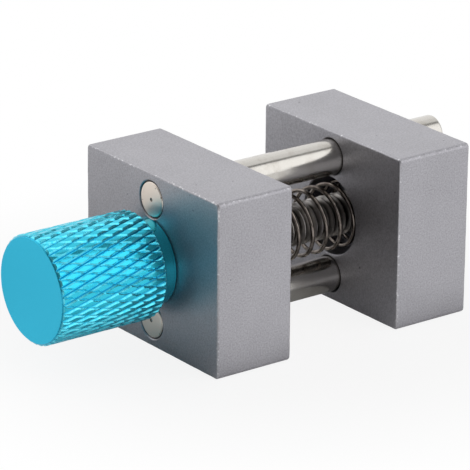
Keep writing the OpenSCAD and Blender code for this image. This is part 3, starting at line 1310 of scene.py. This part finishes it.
@dataclass
class ReturnSpring:
    """The compression spring: one wire whose flat end turns lie on the jaws' seats."""

    axis_z: float
    node: str = "return_spring"
    name: str = "coil_spring"
    outer_r: float = 4.75 * MM
    wire_r: float = 0.3 * MM
    turns: float = 12.25
    flat_turns: float = 0.5
    ease_turns: float = 0.2
    start_deg: float = 185.0
    rings_per_turn: int = 40
    wire_sides: int = 14

    def __post_init__(self) -> None:
        """Takes the seats' places from the frame."""
        low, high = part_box(self.node)
        self.front_x, self.rear_x = low.x, high.x

    def climb(self) -> list[float]:
        """How far the wire has climbed at each ring.

        Returns:
            Shares of the whole climb: 0 along the first seat, 1 along the last, with eased bends between.
        """
        count = round(self.turns * self.rings_per_turn)

        def slope(t: float) -> float:
            """The wire's slope after t turns, as a share of the full slope."""
            s = min(1.0, max(0.0, (min(t, self.turns - t) - self.flat_turns) / self.ease_turns))
            return s * s * (3 - 2 * s)

        sums = [0.0]
        for i in range(count):
            sums.append(sums[-1] + slope(self.turns * (i + 0.5) / count))
        return [s / sums[-1] for s in sums]

    def wire(self, shares: list[float]) -> list[Points]:
        """The wire's rings, with a short straight end at each seat.

        Args:
            shares: How far the wire has climbed at each ring.

        Returns:
            The rings' points.
        """
        coil_r = self.outer_r - self.wire_r
        travel = self.rear_x - self.front_x - 2 * self.wire_r
        last = len(shares) - 1
        centres, outs, ways = [], [], []
        for i, share in enumerate(shares):
            angle = math.radians(self.start_deg) + TURN * self.turns * i / last
            outs.append(polar(0.0, 0.0, 1.0, angle))
            x = self.front_x + self.wire_r + travel * share
            centres.append(Vector((x, 0.0, self.axis_z)) + coil_r * outs[-1])
            step = shares[min(i + 1, last)] - shares[max(i - 1, 0)]
            arc = coil_r * TURN * self.turns / last * (min(i + 1, last) - max(i - 1, 0))
            ways.append(Vector((travel * step, arc * math.cos(angle), arc * math.sin(angle))).normalized())
        start = (centres[0] - 2 * self.wire_r * ways[0], 0)
        end = (centres[-1] + 2 * self.wire_r * ways[-1], last)
        middles = [start, *((centre, i) for i, centre in enumerate(centres)), end]
        rings = []
        for centre, i in middles:
            up = ways[i].cross(outs[i])
            turns = [TURN * j / self.wire_sides for j in range(self.wire_sides)]
            rings.append([centre + self.wire_r * (math.cos(b) * outs[i] + math.sin(b) * up) for b in turns])
        return rings

    def build(self) -> None:
        """Models, dresses and places the spring.
        """
        shares = self.climb()
        rings = self.wire(shares)
        shape = Shape()
        first, last = shape.loft(rings)
        for loop in (first, last):
            shape.face(*loop)
        made = shape.piece(self.name, SpringWire("bright spring wire"))
        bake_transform(made)
        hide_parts(self.node)
        LOG.info("%s stands for %s: %d faces", made.name, self.node, len(made.data.polygons))


@dataclass(frozen=True)
class Softbox:
    """A square lamp that faces the object."""

    name: str
    towards: Place
    distance: float
    size: float
    power: float

    def build(self, target: Vector) -> None:
        """Adds the lamp.

        Args:
            target: The point that it faces.
        """
        lamp = bpy.data.lights.new(self.name, "AREA")
        lamp.size = self.size
        lamp.energy = self.power
        made = add_object(self.name, lamp)
        back = Vector(self.towards).normalized()
        made.location = target + back * self.distance
        made.rotation_euler = back.to_track_quat("Z", "Y").to_euler()
        made.visible_camera = False


@dataclass
class Studio:
    """The pale floor, soft lamps, white world and the long lens of the photograph's view."""

    target: Vector
    floor_r: float = 2.5
    floor_sides: int = 96
    floor_gap: float = 0.02 * MM
    floor_x: float = 15.15 * MM
    ambient: float = 0.46
    gap_light: float = 0.2
    gap_towards: Place = (0.50, -0.60, 0.62)
    gap: Band = (0.79, 0.86)
    room_light: float = 0.24
    room_towards: Place = (-0.85, -0.50, 0.15)
    room: Band = (-0.2, 0.8)
    azimuth_deg: float = -36.914
    elevation_deg: float = 20.307
    roll_deg: float = 0.483
    focal_px: float = 3570.0
    frame_px: float = 470.0
    sensor_mm: float = 36.0
    clip_start: float = 0.01
    aim: Place = (16.08 * MM, 0.0, 12.30 * MM)
    off_aim: Place = (-6.549 * MM, -1.075 * MM, 488.9 * MM)
    softboxes: tuple[Softbox, ...] = (
        Softbox("key softbox", towards=(0.42, -0.72, 0.53), distance=0.62, size=0.62, power=1.60),
        Softbox("rear softbox", towards=(0.45, 0.75, 0.45), distance=0.60, size=0.50, power=0.10),
        Softbox("top softbox", towards=(-0.05, -0.30, 0.95), distance=0.60, size=0.30, power=0.15),
        Softbox("left softbox", towards=(-0.55, 0.52, 0.65), distance=0.60, size=0.40, power=0.30),
    )

    def floor(self) -> None:
        """Adds the floor just below the jaws."""
        turns = [TURN * k / self.floor_sides for k in range(self.floor_sides)]
        points = [(self.floor_r * math.cos(t), self.floor_r * math.sin(t), 0.0) for t in turns]
        mesh = bpy.data.meshes.new("floor")
        mesh.from_pydata(points, [], [tuple(range(self.floor_sides))])
        mesh.materials.append(PaleFloor("pale floor").material())
        made = add_object("floor", mesh)
        made.location = (self.floor_x, self.target.y, -self.floor_gap)

    def world(self) -> None:
        """Sets the world's light.

        The camera sees plain white. Reflections see a white tent with a dark gap round the key lamp and a dim
        room on the viewer's side, and the light that the tent throws on the object is weaker.
        """
        made = bpy.data.worlds.new("studio")
        made.use_nodes = True
        bpy.context.scene.world = made
        graph = Graph(made.node_tree)
        camera = graph.node("ShaderNodeLightPath", output="Is Camera Ray")
        shown = camera.output("Is Glossy Ray").most(camera.output("Is Transmission Ray"))
        way = graph.node("ShaderNodeTexCoord", output="Generated")
        towards = graph.vector_math("DOT_PRODUCT", way, self.gap_towards, output="Value")
        room = graph.vector_math("DOT_PRODUCT", way, self.room_towards, output="Value")
        tent = 1 - (1 - self.gap_light) * towards.step(*self.gap)
        dim = 1 - (1 - self.room_light) * room.step(*self.room)
        strength = (self.ambient + (1 - self.ambient) * shown) * tent * dim * (1 - camera) + camera
        light = graph.node("ShaderNodeBackground", None, {"Color": (1.0,) * 4, "Strength": strength})
        graph.node("ShaderNodeOutputWorld", None, {"Surface": light})

    def camera(self) -> None:
        """Sets the camera at the photograph's viewing angle."""
        a, e, roll = (math.radians(d) for d in (self.azimuth_deg, self.elevation_deg, self.roll_deg))
        back = Vector((math.sin(a) * math.cos(e), -math.cos(a) * math.cos(e), math.sin(e)))
        right = Vector((0.0, 0.0, 1.0)).cross(back).normalized()
        up = back.cross(right)
        turned_right = math.cos(roll) * right + math.sin(roll) * up
        turned_up = math.cos(roll) * up - math.sin(roll) * right
        rotation = Matrix((turned_right, turned_up, back)).transposed()
        place = Vector(self.aim) + rotation @ Vector(self.off_aim)
        lens = bpy.data.cameras.new("long lens")
        lens.sensor_width = self.sensor_mm
        lens.lens = self.focal_px / self.frame_px * self.sensor_mm
        lens.clip_start = self.clip_start
        made = add_object("camera", lens)
        made.matrix_world = Matrix.Translation(place) @ rotation.to_4x4()
        bpy.context.scene.camera = made

    def build(self) -> None:
        """Sets the whole stage."""
        bpy.context.scene.view_settings.view_transform = "Standard"
        self.camera()
        self.world()
        self.floor()
        for softbox in self.softboxes:
            softbox.build(self.target)


def main() -> None:
    """Builds the studio and each sub-assembly in order."""
    logging.basicConfig(level=logging.INFO, format="%(message)s")
    middle = (CAD_BOX[0] + CAD_BOX[1]) / 2
    Studio(middle).build()
    rods = [GuideRod("upper_guide_rod", "upper_rod"), GuideRod("lower_guide_rod", "lower_rod")]
    thread = Thread()
    places = [rod.axis_z for rod in rods]
    axis_z = sum(places) / len(places)
    jaws = [
        Jaw("front_jaw", "front_block", Body.FIXED_JAW, SeatSide.REAR, thread, places, rods[0].r, axis_z),
        Jaw("rear_jaw", "rear_block", Body.MOVING_JAW, SeatSide.FRONT, thread, places, rods[0].r, axis_z),
    ]
    spring = ReturnSpring(axis_z)
    screw = LeadScrew(thread, axis_z, spring.front_x)
    for part in (*jaws, *rods, screw, Knob(axis_z), spring):
        part.build()


if __name__ == "__main__":
    main()
